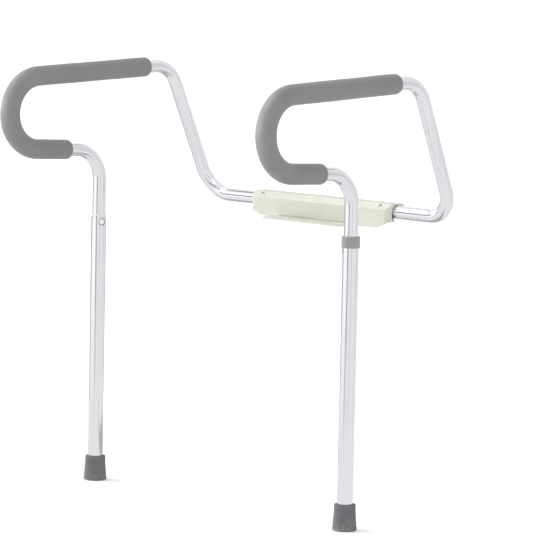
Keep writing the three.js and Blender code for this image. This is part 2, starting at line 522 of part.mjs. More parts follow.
SCREW_X.forEach((bx, i) => {
  add(`base_screw_${i + 1}`, turned([
    [0, BR_Z0 + 0.3], [3.0, BR_Z0 + 0.3], [1.5, BR_Z0 + 1.9], [1.45, BR_Z0 + 13], [0.6, BR_Z0 + 15],
    [0, BR_Z0 + 15.2]], 10, bx, yl(-16.6)), ...STEEL);
});

export default group;
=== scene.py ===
import math

import bmesh
import bpy
import numpy as np
from mathutils import Matrix, Vector


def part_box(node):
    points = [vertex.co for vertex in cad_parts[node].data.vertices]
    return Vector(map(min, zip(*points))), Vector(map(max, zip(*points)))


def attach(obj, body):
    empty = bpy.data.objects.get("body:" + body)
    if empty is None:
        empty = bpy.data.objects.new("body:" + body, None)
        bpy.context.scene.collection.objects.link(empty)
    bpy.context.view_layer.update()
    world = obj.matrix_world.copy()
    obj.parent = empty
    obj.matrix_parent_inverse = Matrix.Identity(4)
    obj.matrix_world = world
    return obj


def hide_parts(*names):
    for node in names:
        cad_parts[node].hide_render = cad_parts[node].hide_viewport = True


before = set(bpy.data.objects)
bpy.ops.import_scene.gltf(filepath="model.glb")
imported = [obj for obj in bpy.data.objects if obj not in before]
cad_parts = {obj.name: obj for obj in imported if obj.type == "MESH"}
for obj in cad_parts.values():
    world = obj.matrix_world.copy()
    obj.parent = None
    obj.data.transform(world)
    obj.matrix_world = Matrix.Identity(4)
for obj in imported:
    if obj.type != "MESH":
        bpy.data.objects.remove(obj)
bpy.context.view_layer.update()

MM = 0.001
SIDES = (("left", -1), ("right", 1))

# ------------------------------------------------------------------ camera
cam_data = bpy.data.cameras.new("camera")
cam = bpy.data.objects.new("camera", cam_data)
bpy.context.scene.collection.objects.link(cam)
cam_data.sensor_width = 36
cam_data.lens = 226.36
cam_data.clip_start, cam_data.clip_end = 0.05, 400
cam.matrix_world = Matrix((
    (0.69310896, -0.08874123, 0.71534954, 4.03454),
    (0.72056052, 0.0580203, -0.69096033, -3.81579),
    (0.01981187, 0.99436343, 0.10415782, 0.97441),
    (0, 0, 0, 1)))
bpy.context.scene.camera = cam

# ------------------------------------------------------------------ dimensions, mm
# The same driving dimensions as the CAD part; the leg axis and the lateral axis are
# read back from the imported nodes, so that the pieces land on the frame.
_lo, _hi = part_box("leg_tube_right")
LEG_X, Y0 = (_lo.x + _hi.x) / 2 / MM, (_lo.y + _hi.y) / 2 / MM
_lo, _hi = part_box("tube_plug_right")
LAT_Y, LAT_Z = (_lo.y + _hi.y) / 2 / MM - Y0, (_lo.z + _hi.z) / 2 / MM
TUBE_R, TUBE_RI = 11.1, 9.85
LOWER_Z, LOWER_SLOPE = 569.8, 0.0386
U_Y, UPPER_Z, UPPER_SLOPE = -133.8, 698.5, 0.0495
SPLAY_Y, SPLAY_Z = -0.0265, -0.0109
REAR_Y, LAT_IN = 153.3, 7.8
R_ELBOW, R_REAR, R_LAT = 52.2, 49, 50.9
LAT_END_X, LEG_IN_Z = 58, 262
GRIP_R, GRIP_RI, GRIP_REAR_Y, GRIP_LOW_Y = 16.8, 11.35, 101, -69.5
LEG_R, LEG_RI, LEG_TOP_Z, LEG_BOT_Z = 12.7, 11.9, 457.6, 6.9
TIP_H, HEIGHT_PITCH, BUTTON_Z, BUTTON_R = 42, 25.4, 310, 3.75
MOUTH_NUB_Z, NUB_HOLE_R, NUB_R, COLLAR_Z0, COLLAR_Z1, COLLAR_R = 446.6, 6.2, 4.5, 452.5, 471, 14.8
BR_HALF, BR_Z0, BR_Z1 = 165, 460, 501
LOCK_X, WIDTH_PITCH, BASE_T = 141, 12.7, 3
CAP_R, CAP_DEPTH, CAP_Y, CAP_Z, BUSH_SKIRT = 2.7, 5.2, -17.96, 9.09, 15.9
TONGUE_X, TONGUE_Y, SLOT_X, SLOT_Y, SLOT_HALF, SLOT_R = 95, -68, 70, -47, 16.5, 4.6


def yl(y):
    return LAT_Y + y


def unit(v):
    v = np.asarray(v, float)
    return v / np.linalg.norm(v)


# ------------------------------------------------------------------ mesh tools
class Build:
    """Collects vertices (mm, measured from the leg axis in Y) and faces, and where each
    vertex would be if the piece were straight, for grain that follows a bent tube."""

    def __init__(self):
        self.v, self.f, self.run = [], [], []

    def add(self, p, run=(0, 0, 0)):
        self.v.append((p[0] * MM, (p[1] + Y0) * MM, p[2] * MM))
        self.run.append((run[0] * MM, run[1] * MM, run[2] * MM))
        return len(self.v) - 1

    def strip(self, a, b):
        n = len(a)
        for k in range(n):
            m = (k + 1) % n
            self.f.append((a[k], a[m], b[m], b[k]))

    def object(self, name, angle=32, run=True):
        mesh = bpy.data.meshes.new(name)
        mesh.from_pydata(self.v, [], self.f)
        bm = bmesh.new()
        bm.from_mesh(mesh)
        bmesh.ops.recalc_face_normals(bm, faces=bm.faces)
        bm.to_mesh(mesh)
        bm.free()
        if run:
            at = mesh.attributes.new("run", "FLOAT_VECTOR", "POINT")
            at.data.foreach_set("vector", np.array(self.run, np.float32).ravel())
        shade(mesh, angle)
        obj = bpy.data.objects.new(name, mesh)
        bpy.context.scene.collection.objects.link(obj)
        return obj


def shade(mesh, angle=32):
    mesh.polygons.foreach_set("use_smooth", [True] * len(mesh.polygons))
    mesh.set_sharp_from_angle(angle=math.radians(angle))
    mesh.update()


def boolean(obj, tool, operation, keep=False):
    """Joins or cuts with the exact solver, and keeps the result as obj's own mesh."""
    mod = obj.modifiers.new("cut", "BOOLEAN")
    mod.solver, mod.operation, mod.object = "EXACT", operation, tool
    dg = bpy.context.evaluated_depsgraph_get()
    mesh = bpy.data.meshes.new_from_object(obj.evaluated_get(dg))
    obj.modifiers.remove(mod)
    old, obj.data = obj.data, mesh
    mesh.name = obj.name
    bpy.data.meshes.remove(old)
    if not keep:
        bpy.data.objects.remove(tool)
    return obj


def tidy(obj, angle=32, weighted=True):
    """Clean normals on a cut piece: flat faces stay flat and rounded edges stay round."""
    bm = bmesh.new()
    bm.from_mesh(obj.data)
    bmesh.ops.remove_doubles(bm, verts=bm.verts, dist=2e-6)
    bmesh.ops.dissolve_degenerate(bm, edges=bm.edges, dist=1e-6)
    bm.to_mesh(obj.data)
    bm.free()
    shade(obj.data, angle)
    if weighted:
        mod = obj.modifiers.new("normals", "WEIGHTED_NORMAL")
        mod.keep_sharp, mod.weight = True, 60
    return obj


def frames(path, n0):
    """Carries a cross-section frame along the path without twist, with the run length."""
    out, n, s = [], unit(n0), 0.0
    for i, (p, t) in enumerate(path):
        if i:
            s += float(np.linalg.norm(p - path[i - 1][0]))
            t0 = path[i - 1][1]
            axis = np.cross(t0, t)
            m = np.linalg.norm(axis)
            if m > 1e-9:
                axis, a = axis / m, math.atan2(m, float(t0 @ t))
                n = (n * math.cos(a) + np.cross(axis, n) * math.sin(a)
                     + axis * (axis @ n) * (1 - math.cos(a)))
        n = unit(n - (n @ t) * t)
        out.append((p, t, n, np.cross(t, n), s))
    return out


def sweep(name, path, r_out, r_in, count, end, n0, holes=(), wobble=None, angle=32):
    """A hollow tube along path. end lists (inset, radius) from bore to outside, and holes
    lists (centre, direction, radius, half length of its patch, half width in facets)."""
    fr = frames(path, n0)
    last = len(fr) - 1
    b = Build()
    rings = []

    def ring(f, shift, r):
        p, t, n, bi, s = f
        row = []
        for j in range(count):
            a = 2 * math.pi * j / count
            rr = r
            if wobble is not None and r > (r_in + r_out) / 2:
                rr = r + wobble(s + shift, a)
            d = n * math.cos(a) + bi * math.sin(a)
            row.append(b.add(p + t * shift + d * rr, (math.cos(a) * r, math.sin(a) * r, s + shift)))
        rings.append(row)
        return row

    outer, inner = {}, {}
    for ds, r in end:
        ring(fr[0], ds, r)
    for i in range(1, last):
        outer[i] = ring(fr[i], 0, r_out)
    for ds, r in reversed(end):
        ring(fr[last], -ds, r)
    for i in range(last - 1, 0, -1):
        inner[i] = ring(fr[i], 0, r_in)

    cut_o, cut_i, patches = set(), set(), []
    for centre, direction, rh, half, m in holes:
        c, d = np.asarray(centre, float), unit(direction)
        near = [i for i in range(1, last) if abs((fr[i][0] - c) @ fr[i][1]) <= half + 1e-6
                and np.linalg.norm(fr[i][0] - c) <= half + 1e-3]
        i0, i1 = near[0], near[-1]
        p, t, n, bi, s = fr[i0]
        sc = s + float((c - p) @ t)
        ac = math.atan2(float(d @ bi), float(d @ n))
        jc = round(ac / (2 * math.pi) * count)
        j0, j1 = jc - m, jc + m
        loop = ([(i0, j) for j in range(j0, j1)] + [(i, j1) for i in range(i0, i1)]
                + [(i1, j) for j in range(j1, j0, -1)] + [(i, j0) for i in range(i1, i0, -1)])
        for i in range(i0, i1):
            for j in range(j0, j1):
                cut_o.add((i, j % count))
                cut_i.add((i, j % count))

        def at(ang, ss, r):
            a = ac + ang
            q = p + t * (ss - s) + (n * math.cos(a) + bi * math.sin(a)) * r
            return b.add(q, (math.cos(a) * r, math.sin(a) * r, ss))

        ch = min(0.25, (r_out - r_in) / 4)
        loops = [[outer[i][j % count] for i, j in loop]]
        data = []
        for i, j in loop:
            ang = 2 * math.pi * j / count - ac
            ang = (ang + math.pi) % (2 * math.pi) - math.pi
            data.append((ang, fr[i][4] - sc, math.atan2(fr[i][4] - sc, r_out * math.sin(ang))))
        for k, r, rad in ((0.36, r_out, rh + ch), (0.7, r_out, rh + ch), (1, r_out, rh + ch),
                          (1, r_out - ch, rh), (1, r_in + ch, rh), (1, r_in, rh + ch),
                          (0.6, r_in, rh + ch), (0.3, r_in, rh + ch)):
            row = []
            for ang, ds, phi in data:
                a2 = math.asin(max(-1, min(1, rad * math.cos(phi) / r)))
                row.append(at(ang + (a2 - ang) * k, sc + ds + (rad * math.sin(phi) - ds) * k, r))
            loops.append(row)
        loops.append([inner[i][j % count] for i, j in loop])
        patches.append(loops)

    k_outer = {id(outer[i]): i for i in outer}
    k_inner = {id(inner[i]): i for i in inner}
    for k in range(len(rings)):
        ra, rb = rings[k], rings[(k + 1) % len(rings)]
        for j in range(count):
            if id(ra) in k_outer and id(rb) in k_outer and (k_outer[id(ra)], j) in cut_o:
                continue
            if id(ra) in k_inner and id(rb) in k_inner and (k_inner[id(rb)], j) in cut_i:
                continue
            m = (j + 1) % count
            b.f.append((ra[j], ra[m], rb[m], rb[j]))
    for loops in patches:
        for la, lb in zip(loops, loops[1:]):
            b.strip(la, lb)
    return b.object(name, angle)


def rounded(points, closed=False, seg=5):
    """Profile points (a, b, radius) to a polyline with its corners rounded."""
    pts = [np.array(p[:2], float) for p in points]
    rad = [p[2] if len(p) > 2 else 0 for p in points]
    out, n = [], len(pts)
    for i in range(n):
        if rad[i] <= 0 or (not closed and i in (0, n - 1)):
            out.append(tuple(pts[i]))
            continue
        p, q, r = pts[i - 1], pts[i], pts[(i + 1) % n]
        u, v = unit(p - q), unit(r - q)
        ang = math.acos(max(-1, min(1, float(u @ v))))
        if ang > math.pi - 0.03:
            out.append(tuple(q))
            continue
        t = min(rad[i] / math.tan(ang / 2), 0.49 * np.linalg.norm(p - q), 0.49 * np.linalg.norm(r - q))
        rr = t * math.tan(ang / 2)
        cen = q + unit(u + v) * rr / math.sin(ang / 2)
        e1, e2 = unit(q + u * t - cen), q + v * t - cen
        a1 = math.atan2(e1[1], e1[0])
        da = math.atan2(e2[1], e2[0]) - a1
        da = (da + math.pi) % (2 * math.pi) - math.pi
        for k in range(seg + 1):
            a = a1 + da * k / seg
            out.append((cen[0] + rr * math.cos(a), cen[1] + rr * math.sin(a)))
    return out


def lathe(name, profile, origin, axis, count=64, angle=32, run=True):
    """Turned piece: profile is (radius, height) from axis to axis, or a closed loop."""
    b, a = Build(), unit(axis)
    n = unit(np.cross(a, (0.31, 0.95, 0.05)))
    bi, o = np.cross(a, n), np.asarray(origin, float)
    rows = []
    for r, h in profile:
        if r < 1e-6:
            rows.append([b.add(o + a * h, (0, 0, h))])
        else:
            rows.append([b.add(o + a * h + (n * math.cos(q) + bi * math.sin(q)) * r,
                               (r * math.cos(q), r * math.sin(q), h))
                         for q in (2 * math.pi * j / count for j in range(count))])
    ends_on_axis = len(rows[0]) == 1 and len(rows[-1]) == 1
    pairs = list(zip(rows, rows[1:])) + ([] if ends_on_axis else [(rows[-1], rows[0])])
    for ra, rb in pairs:
        for j in range(count):
            m = (j + 1) % count
            if len(ra) == 1 and len(rb) > 1:
                b.f.append((ra[0], rb[m], rb[j]))
            elif len(rb) == 1 and len(ra) > 1:
                b.f.append((ra[j], ra[m], rb[0]))
            elif len(ra) > 1:
                b.f.append((ra[j], ra[m], rb[m], rb[j]))
    return b.object(name, angle, run)


def outline_normals(pts):
    """Outward normals of a closed outline, and +1 or -1 for its turning direction."""
    p = np.array(pts, float)
    area = 0.5 * float(np.sum(p[:, 0] * np.roll(p[:, 1], -1) - np.roll(p[:, 0], -1) * p[:, 1]))
    e = np.roll(p, -1, 0) - p
    e /= np.linalg.norm(e, axis=1)[:, None]
    sign = 1 if area > 0 else -1
    n1 = np.stack([e[:, 1], -e[:, 0]], 1) * sign
    n0 = np.roll(n1, 1, 0)
    m = n0 + n1
    m /= np.linalg.norm(m, axis=1)[:, None]
    scale = 1 / np.clip(np.sum(m * n1, 1), 0.4, 1)
    return p, m * scale[:, None]


def slab(name, outline, lo, hi, edge, axes="xyz", seg=3):
    """Plate from a closed outline, with rounded edges; axes says which way it lies."""
    p, n = outline_normals(outline)
    rows, b = [], Build()
    levels = [(lo + edge * (1 - math.cos(a)), edge * (1 - math.sin(a)))
              for a in (math.pi / 2 * k / seg for k in range(seg + 1))]
    levels += [(hi - (h - lo), d) for h, d in reversed(levels)]
    for h, d in levels:
        q = p - n * d
        rows.append([b.add(dict(xyz=(x, y, h), yzx=(h, x, y))[axes]) for x, y in q])
    for ra, rb in zip(rows, rows[1:]):
        b.strip(ra, rb)
    b.f.append(tuple(reversed(rows[0])))
    b.f.append(tuple(rows[-1]))
    return b.object(name, run=False)


def prism(points, lo, hi, axes="xyz"):
    """Plain closed prism, used as a cutter or as a rib before it is joined."""
    b = Build()
    r0 = [b.add(dict(xyz=(x, y, lo), yzx=(lo, x, y), xzy=(x, lo, y))[axes]) for x, y in points]
    r1 = [b.add(dict(xyz=(x, y, hi), yzx=(hi, x, y), xzy=(x, hi, y))[axes]) for x, y in points]
    b.strip(r0, r1)
    b.f.append(tuple(reversed(r0)))
    b.f.append(tuple(r1))
    return b.object("tool", run=False)


def rod(a, c, r, count=48, r2=None):
    a, c = np.asarray(a, float), np.asarray(c, float)
    h = float(np.linalg.norm(c - a))
    return lathe("tool", [(0, 0), (r, 0), (r if r2 is None else r2, h), (0, h)], a, c - a, count, run=False)


def loft(rows):
    """Closed solid through rows of points with equal counts."""
    b = Build()
    ids = [[b.add(p) for p in row] for row in rows]
    for ra, rb in zip(ids, ids[1:]):
        b.strip(ra, rb)
    b.f.append(tuple(reversed(ids[0])))
    b.f.append(tuple(ids[-1]))
    return b.object("tool", run=False)


# ------------------------------------------------------------------ arm centre line
def arm_x(y, z):
    return LEG_X + SPLAY_Y * y + SPLAY_Z * (z - LOWER_Z)


def arm_p(y, z):
    return np.array((arm_x(y, z), y, z))


low_a, up_a = math.atan(-LOWER_SLOPE), math.atan(UPPER_SLOPE)
low_u = LOWER_Z - LOWER_SLOPE * U_Y
cl, cu = math.cos(low_a), math.cos(up_a)
U_Z = (low_u * cl + UPPER_Z * cu) / (cl + cu)
U_R = (U_Z - low_u) * cl
REAR_Z = UPPER_Z + UPPER_SLOPE * (REAR_Y - U_Y)


def u_bend(n):
    a0 = math.atan2(-math.cos(low_a), math.sin(low_a))
    a1 = math.atan2(math.cos(up_a), -math.sin(up_a)) - 2 * math.pi
    out = []
    for i in range(n + 1):
        a = a0 + (a1 - a0) * i / n
        p = arm_p(U_Y + U_R * math.cos(a), U_Z + U_R * math.sin(a))
        q = arm_p(U_Y + U_R * math.cos(a - 1e-3), U_Z + U_R * math.sin(a - 1e-3))
        out.append((p, unit(q - p)))
    return out


def bend(A, B, C, r, n):
    u, v = unit(A - B), unit(C - B)
    ang = math.acos(float(u @ v))
    t = r / math.tan(ang / 2)
    cen = B + unit(u + v) * r / math.sin(ang / 2)
    e1, e2 = (B + u * t - cen) / r, -u
    out = []
    for i in range(n + 1):
        a = (math.pi - ang) * i / n
        out.append((cen + e1 * r * math.cos(a) + e2 * r * math.sin(a),
                    unit(-e1 * math.sin(a) + e2 * math.cos(a))))
    return out


def line(a, c, step, marks=()):
    """Stations on a straight: regular ones, and marked ones that replace their neighbours."""
    length = float(np.linalg.norm(c - a))
    t = (c - a) / length
    marks = sorted(m for m in marks if 0 < m < length)
    n = max(1, round(length / step))
    ds = [length * k / n for k in range(n + 1)]
    ds = [d for d in ds if all(abs(d - m) > 2.2 for m in marks)] + list(marks)
    ds = sorted(set([0.0] + ds + [length]))
    return [(a + t * d, t) for d in ds]


def chain(*parts):
    out = []
    for part in parts:
        for p, t in part:
            if out and np.linalg.norm(out[-1][0] - p) < 1e-4:
                continue
            out.append((p, t))
    return out


def marks(centre, half, n):
    return [centre - half + 2 * half * k / n for k in range(n + 1)]


FOOT, ELBOW = np.array((LEG_X, 0, LEG_IN_Z)), np.array((LEG_X, 0, LOWER_Z))
U = u_bend(64)
REAR = arm_p(REAR_Y, REAR_Z)
LATC = np.array((arm_x(LAT_Y, LAT_Z) - LAT_IN, LAT_Y, LAT_Z))
LATE = np.array((LAT_END_X, LAT_Y, LAT_Z))
E, RR, LL = (bend(FOOT, ELBOW, U[0][0], R_ELBOW, 28), bend(U[-1][0], REAR, LATC, R_REAR, 26),
             bend(REAR, LATC, LATE, R_LAT, 32))
WIDTH_X = [LOCK_X + k * WIDTH_PITCH for k in range(-2, 5)]
lat_marks = [m for x in WIDTH_X for m in marks(LL[-1][0][0] - x, 5.2, 6)]
ARM = chain(line(FOOT, E[0][0], 26, marks(BUTTON_Z - LEG_IN_Z, 7, 8)), E,
            line(E[-1][0], U[0][0], 26), U, line(U[-1][0], RR[0][0], 26), RR,
            line(RR[-1][0], LL[0][0], 26), LL, line(LL[-1][0], LATE, 26, lat_marks))


def lower_at(y):
    return arm_p(y, LOWER_Z - LOWER_SLOPE * y)


def upper_at(y):
    return arm_p(y, UPPER_Z + UPPER_SLOPE * (y - U_Y))


GRIP = chain(line(lower_at(GRIP_LOW_Y), U[0][0], 6), U, line(U[-1][0], upper_at(GRIP_REAR_Y), 6))


def mirrored(path, s):
    f = np.array((s, 1, 1))
    return [(p * f, t * f) for p, t in path]


# ------------------------------------------------------------------ materials
class Mat:
    """A node material: the helpers return sockets."""

    def __init__(self, name):
        self.m = bpy.data.materials.new(name)
        self.m.use_nodes = True
        self.t = self.m.node_tree
        self.b = self.t.nodes["Principled BSDF"]

    def node(self, kind, **kw):
        n = self.t.nodes.new(kind)
        for k, v in kw.items():
            setattr(n, k, v)
        return n

    def link(self, a, b):
        self.t.links.new(a, b)

    def coords(self, attribute=None, scale=(1, 1, 1), rotate=(0, 0, 0)):
        if attribute:
            src = self.node("ShaderNodeAttribute", attribute_name=attribute).outputs["Vector"]
        else:
            src = self.node("ShaderNodeTexCoord").outputs["Object"]
        mp = self.node("ShaderNodeMapping")
        mp.inputs["Scale"].default_value = scale
        mp.inputs["Rotation"].default_value = rotate
        self.link(src, mp.inputs["Vector"])
        return mp.outputs["Vector"]

    def noise(self, vec, scale, detail=4, rough=0.55, distort=0.0):
        n = self.node("ShaderNodeTexNoise")
        n.inputs["Scale"].default_value = scale
        n.inputs["Detail"].default_value = detail
        n.inputs["Roughness"].default_value = rough
        n.inputs["Distortion"].default_value = distort
        self.link(vec, n.inputs["Vector"])
        return n.outputs["Fac"]

    def voronoi(self, vec, scale, feature="F1"):
        n = self.node("ShaderNodeTexVoronoi", feature=feature)
        n.inputs["Scale"].default_value = scale
        self.link(vec, n.inputs["Vector"])
        return n.outputs["Distance"]

    def ramp(self, fac, stops):
        n = self.node("ShaderNodeValToRGB")
        el = n.color_ramp.elements
        while len(el) < len(stops):
            el.new(0.5)
        for e, (pos, col) in zip(el, stops):
            e.position = pos
            e.color = (*(col if hasattr(col, "__len__") else (col,) * 3), 1)
        self.link(fac, n.inputs["Fac"])
        return n.outputs["Color"]

    def span(self, fac, lo, hi, a=0.0, b=1.0):
        n = self.node("ShaderNodeMapRange")
        n.inputs["From Min"].default_value, n.inputs["From Max"].default_value = a, b
        n.inputs["To Min"].default_value, n.inputs["To Max"].default_value = lo, hi
        self.link(fac, n.inputs["Value"])
        return n.outputs["Result"]

    def math(self, op, a, b=0.0):
        n = self.node("ShaderNodeMath", operation=op)
        for i, x in enumerate((a, b)):
            if isinstance(x, (int, float)):
                n.inputs[i].default_value = x
            else:
                self.link(x, n.inputs[i])
        return n.outputs[0]

    def mix(self, fac, a, b, blend="MIX"):
        n = self.node("ShaderNodeMix", data_type="RGBA", blend_type=blend)
        for key, x in ((0, fac), (6, a), (7, b)):
            if isinstance(x, (int, float)):
                n.inputs[key].default_value = x
            elif isinstance(x, tuple):
                n.inputs[key].default_value = (*x, 1)
            else:
                self.link(x, n.inputs[key])
        return n.outputs[2]

    def bump(self, height, strength, distance, normal=None):
        n = self.node("ShaderNodeBump")
        n.inputs["Strength"].default_value = strength
        n.inputs["Distance"].default_value = distance
        self.link(height, n.inputs["Height"])
        if normal is not None:
            self.link(normal, n.inputs["Normal"])
        return n.outputs["Normal"]

    def set(self, **kw):
        for k, v in kw.items():
            key = k.replace("_", " ").title().replace("Ior", "IOR")
            if isinstance(v, (int, float, tuple)):
                sock = self.b.inputs[key]
                if isinstance(v, tuple) and sock.type == "RGBA":
                    v = (*v[:3], 1)
                sock.default_value = v
            else:
                self.link(v, self.b.inputs[key])
        return self.m


def lin(r, g, b):
    return tuple((c / 255 / 12.92) if c <= 10 else ((c / 255 + 0.055) / 1.055) ** 2.4 for c in (r, g, b))


def alu(name, rough=0.13):
    """Drawn and polished aluminium tube: lines along the tube, faint smears and scuffs."""
    m = Mat(name)
    along = m.coords("run", (1, 1, 0.012))
    fine = m.noise(along, 2600, 3, 0.6)
    broad = m.noise(m.coords("run", (1, 1, 0.03)), 420, 3, 0.5)
    cloud = m.noise(m.coords("run", (1, 1, 0.35)), 34, 4, 0.6, 0.4)
    hair = m.ramp(m.noise(m.coords("run", (1, 1, 0.004)), 5200, 2, 0.7), [(0.60, 0.0), (0.72, 1.0)])
    col = m.mix(m.span(fine, 0, 1, 0.3, 0.7), lin(240, 240, 245), lin(250, 250, 252))
    col = m.mix(m.span(cloud, 0, 0.35, 0.45, 0.75), col, lin(228, 229, 235))
    r = m.math("ADD", m.span(broad, rough - 0.035, rough + 0.045, 0.3, 0.7), m.span(cloud, 0, 0.07, 0.4, 0.75))
    r = m.math("ADD", r, m.math("MULTIPLY", hair, 0.09))
    n = m.bump(fine, 0.16, 0.00005, m.bump(broad, 0.22, 0.00016))
    return m.set(base_color=col, metallic=1.0, roughness=r, normal=n)


def steel(name, rough=0.28):
    m = Mat(name)
    v = m.coords()
    a, c = m.noise(v, 900, 4), m.noise(v, 90, 3)
    col = m.mix(m.span(c, 0, 1, 0.3, 0.7), lin(176, 178, 183), lin(205, 206, 210))
    return m.set(base_color=col, metallic=1.0, roughness=m.span(a, rough - 0.08, rough + 0.12, 0.25, 0.75),
                 normal=m.bump(a, 0.15, 0.00008))


def foam(name):
    """Closed-cell vinyl foam sleeve: a smooth satin skin with fine pores."""
    m = Mat(name)
    v, run = m.coords(), m.coords("run")
    pores = m.voronoi(run, 1500)
    fine = m.noise(run, 2400, 5, 0.65)
    soft = m.noise(m.coords("run", (1, 1, 0.4)), 60, 3)
    cloud = m.noise(v, 16, 4, 0.6, 0.5)
    col = m.mix(m.span(cloud, 0, 1, 0.32, 0.68), lin(107, 109, 107), lin(115, 117, 115))
    col = m.mix(m.span(pores, 0.35, 0, 0.0, 0.42), col, lin(96, 99, 98))
    col = m.mix(m.span(fine, 0, 0.16, 0.55, 0.8), col, lin(160, 163, 161))
    rub = m.ramp(m.noise(v, 9, 3, 0.6), [(0.45, 0.0), (0.7, 1.0)])
    r = m.math("ADD", m.span(fine, 0.40, 0.52, 0.3, 0.7), m.math("MULTIPLY", rub, -0.07))
    h = m.math("ADD", m.math("MULTIPLY", fine, 0.4), m.span(pores, 0, 0.6, 0, 0.4))
    n = m.bump(h, 0.28, 0.00022, m.bump(soft, 0.3, 0.0012))
    return m.set(base_color=col, roughness=r, normal=n, specular_ior_level=0.62,
                 sheen_weight=0.10, sheen_roughness=0.45)


def rubber(name):
    """Moulded rubber: matte, faintly mottled, dusty towards the floor."""
    m = Mat(name)
    v = m.coords()
    fine, blot = m.noise(v, 1900, 5, 0.65), m.noise(v, 55, 4, 0.6, 0.3)
    sep = m.node("ShaderNodeSeparateXYZ")
    m.link(m.node("ShaderNodeTexCoord").outputs["Object"], sep.inputs[0])
    low = m.span(sep.outputs["Z"], 1.0, 0.0, 0.0, 0.016)
    col = m.mix(m.span(blot, 0, 1, 0.32, 0.7), lin(89, 88, 91), lin(100, 99, 102))
    dust = m.math("MULTIPLY", low, m.span(m.noise(v, 240, 4), 0, 0.8, 0.42, 0.7))
    col = m.mix(dust, col, lin(146, 143, 140))
    r = m.math("ADD", m.span(fine, 0.56, 0.70, 0.3, 0.7), m.math("MULTIPLY", dust, 0.15))
    n = m.bump(fine, 0.35, 0.00018, m.bump(blot, 0.12, 0.0006))
    return m.set(base_color=col, roughness=r, normal=n, specular_ior_level=0.4)


def plastic(name, dark, light, rough=0.36, grain=1500, depth=0.00012, sss=0.0, painted_recess_shade=False):
    """Moulded plastic: fine spark texture, slow flow mottling and a little surface polish; the last flag paints shade
    into narrow recesses below the leg mouth, darkened by ambient occlusion."""
    m = Mat(name)
    v = m.coords()
    fine, flow = m.noise(v, grain, 4, 0.6), m.noise(m.coords(None, (0.45, 1, 1)), 26, 4, 0.55, 0.8)
    sink = m.noise(v, 48, 2)
    col = m.mix(m.span(flow, 0, 1, 0.3, 0.7), dark, light)
    speck = m.ramp(m.voronoi(v, 520), [(0.02, 1.0), (0.055, 0.0)])
    col = m.mix(m.math("MULTIPLY", speck, 0.18), col, tuple(c * 0.72 for c in dark))
    if painted_recess_shade:
        # Painted shade: ambient occlusion darkens narrow recesses on the skirt below the leg mouth to near black.
        ao = m.node("ShaderNodeAmbientOcclusion", samples=8)
        ao.inputs["Distance"].default_value = 0.005
        sep = m.node("ShaderNodeSeparateXYZ")
        m.link(m.node("ShaderNodeTexCoord").outputs["Object"], sep.inputs[0])
        below = m.span(sep.outputs["Z"], 1.0, 0.0, 0.4562, 0.4572)
        col = m.mix(m.math("MULTIPLY", below, m.span(ao.outputs["AO"], 0.96, 0, 0.72, 0.96)), col, lin(38, 37, 36))
    r = m.math("ADD", m.span(fine, rough - 0.05, rough + 0.07, 0.3, 0.7), m.span(flow, -0.03, 0.04, 0.35, 0.65))
    n = m.bump(fine, 0.22, depth, m.bump(sink, 0.12, 0.0008))
    return m.set(base_color=col, roughness=r, normal=n, subsurface_weight=sss,
                 subsurface_radius=(0.004, 0.0035, 0.0025))


M_ALU = alu("aluminium_arm", 0.10)
M_LEG = alu("aluminium_leg", 0.11)
M_FOAM = foam("grip_foam")
M_RUBBER = rubber("tip_rubber")
M_CREAM = plastic("bracket_plastic", lin(186, 188, 175), lin(196, 198, 186), 0.34)
M_GREY = plastic("grey_plastic", lin(126, 127, 127), lin(138, 139, 139), 0.40)
M_DARK = plastic("button_plastic", lin(196, 198, 190), lin(206, 208, 201), 0.42)
M_NYLON = plastic("nylon", lin(214, 215, 212), lin(226, 227, 225), 0.38)
M_BUSH = plastic("bush_nylon", lin(206, 207, 208), lin(216, 217, 218), 0.24, painted_recess_shade=True)
M_STEEL = steel("steel")


def place(obj, body, nodes, mat):
    obj.data.materials.clear()
    obj.data.materials.append(mat)
    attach(obj, body)
    if nodes:
        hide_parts(*([nodes] if isinstance(nodes, str) else nodes))
    return obj


# ------------------------------------------------------------------ arms, sleeves, legs
MATT = []
TUBE_END = [(0.35, TUBE_RI), (0, TUBE_RI + 0.35), (0, TUBE_R - 0.4), (0.12, TUBE_R - 0.12), (0.4, TUBE_R)]
GRIP_END = ([(1.5, GRIP_RI), (0.55, GRIP_RI + 0.15), (0.0, GRIP_RI + 0.9)]
            + [(6.2 * (1 - math.cos(a)), GRIP_R - 4.4 * (1 - math.sin(a)))
               for a in (math.pi / 2 * k / 9 for k in range(1, 10))])
LEG_END = [(0.2, LEG_RI), (0, LEG_RI + 0.2), (0, LEG_R - 0.25), (0.08, LEG_R - 0.08), (0.25, LEG_R)]


def swell(s, a):
    """The sleeve isn't perfectly even: fractions of a millimetre over a hand's width."""
    return (0.10 * math.sin(s / 37 + 1.3) * math.cos(a - s / 90) + 0.07 * math.sin(s / 19 + 2 * a)
            + 0.04 * math.sin(s / 7.3 - a))


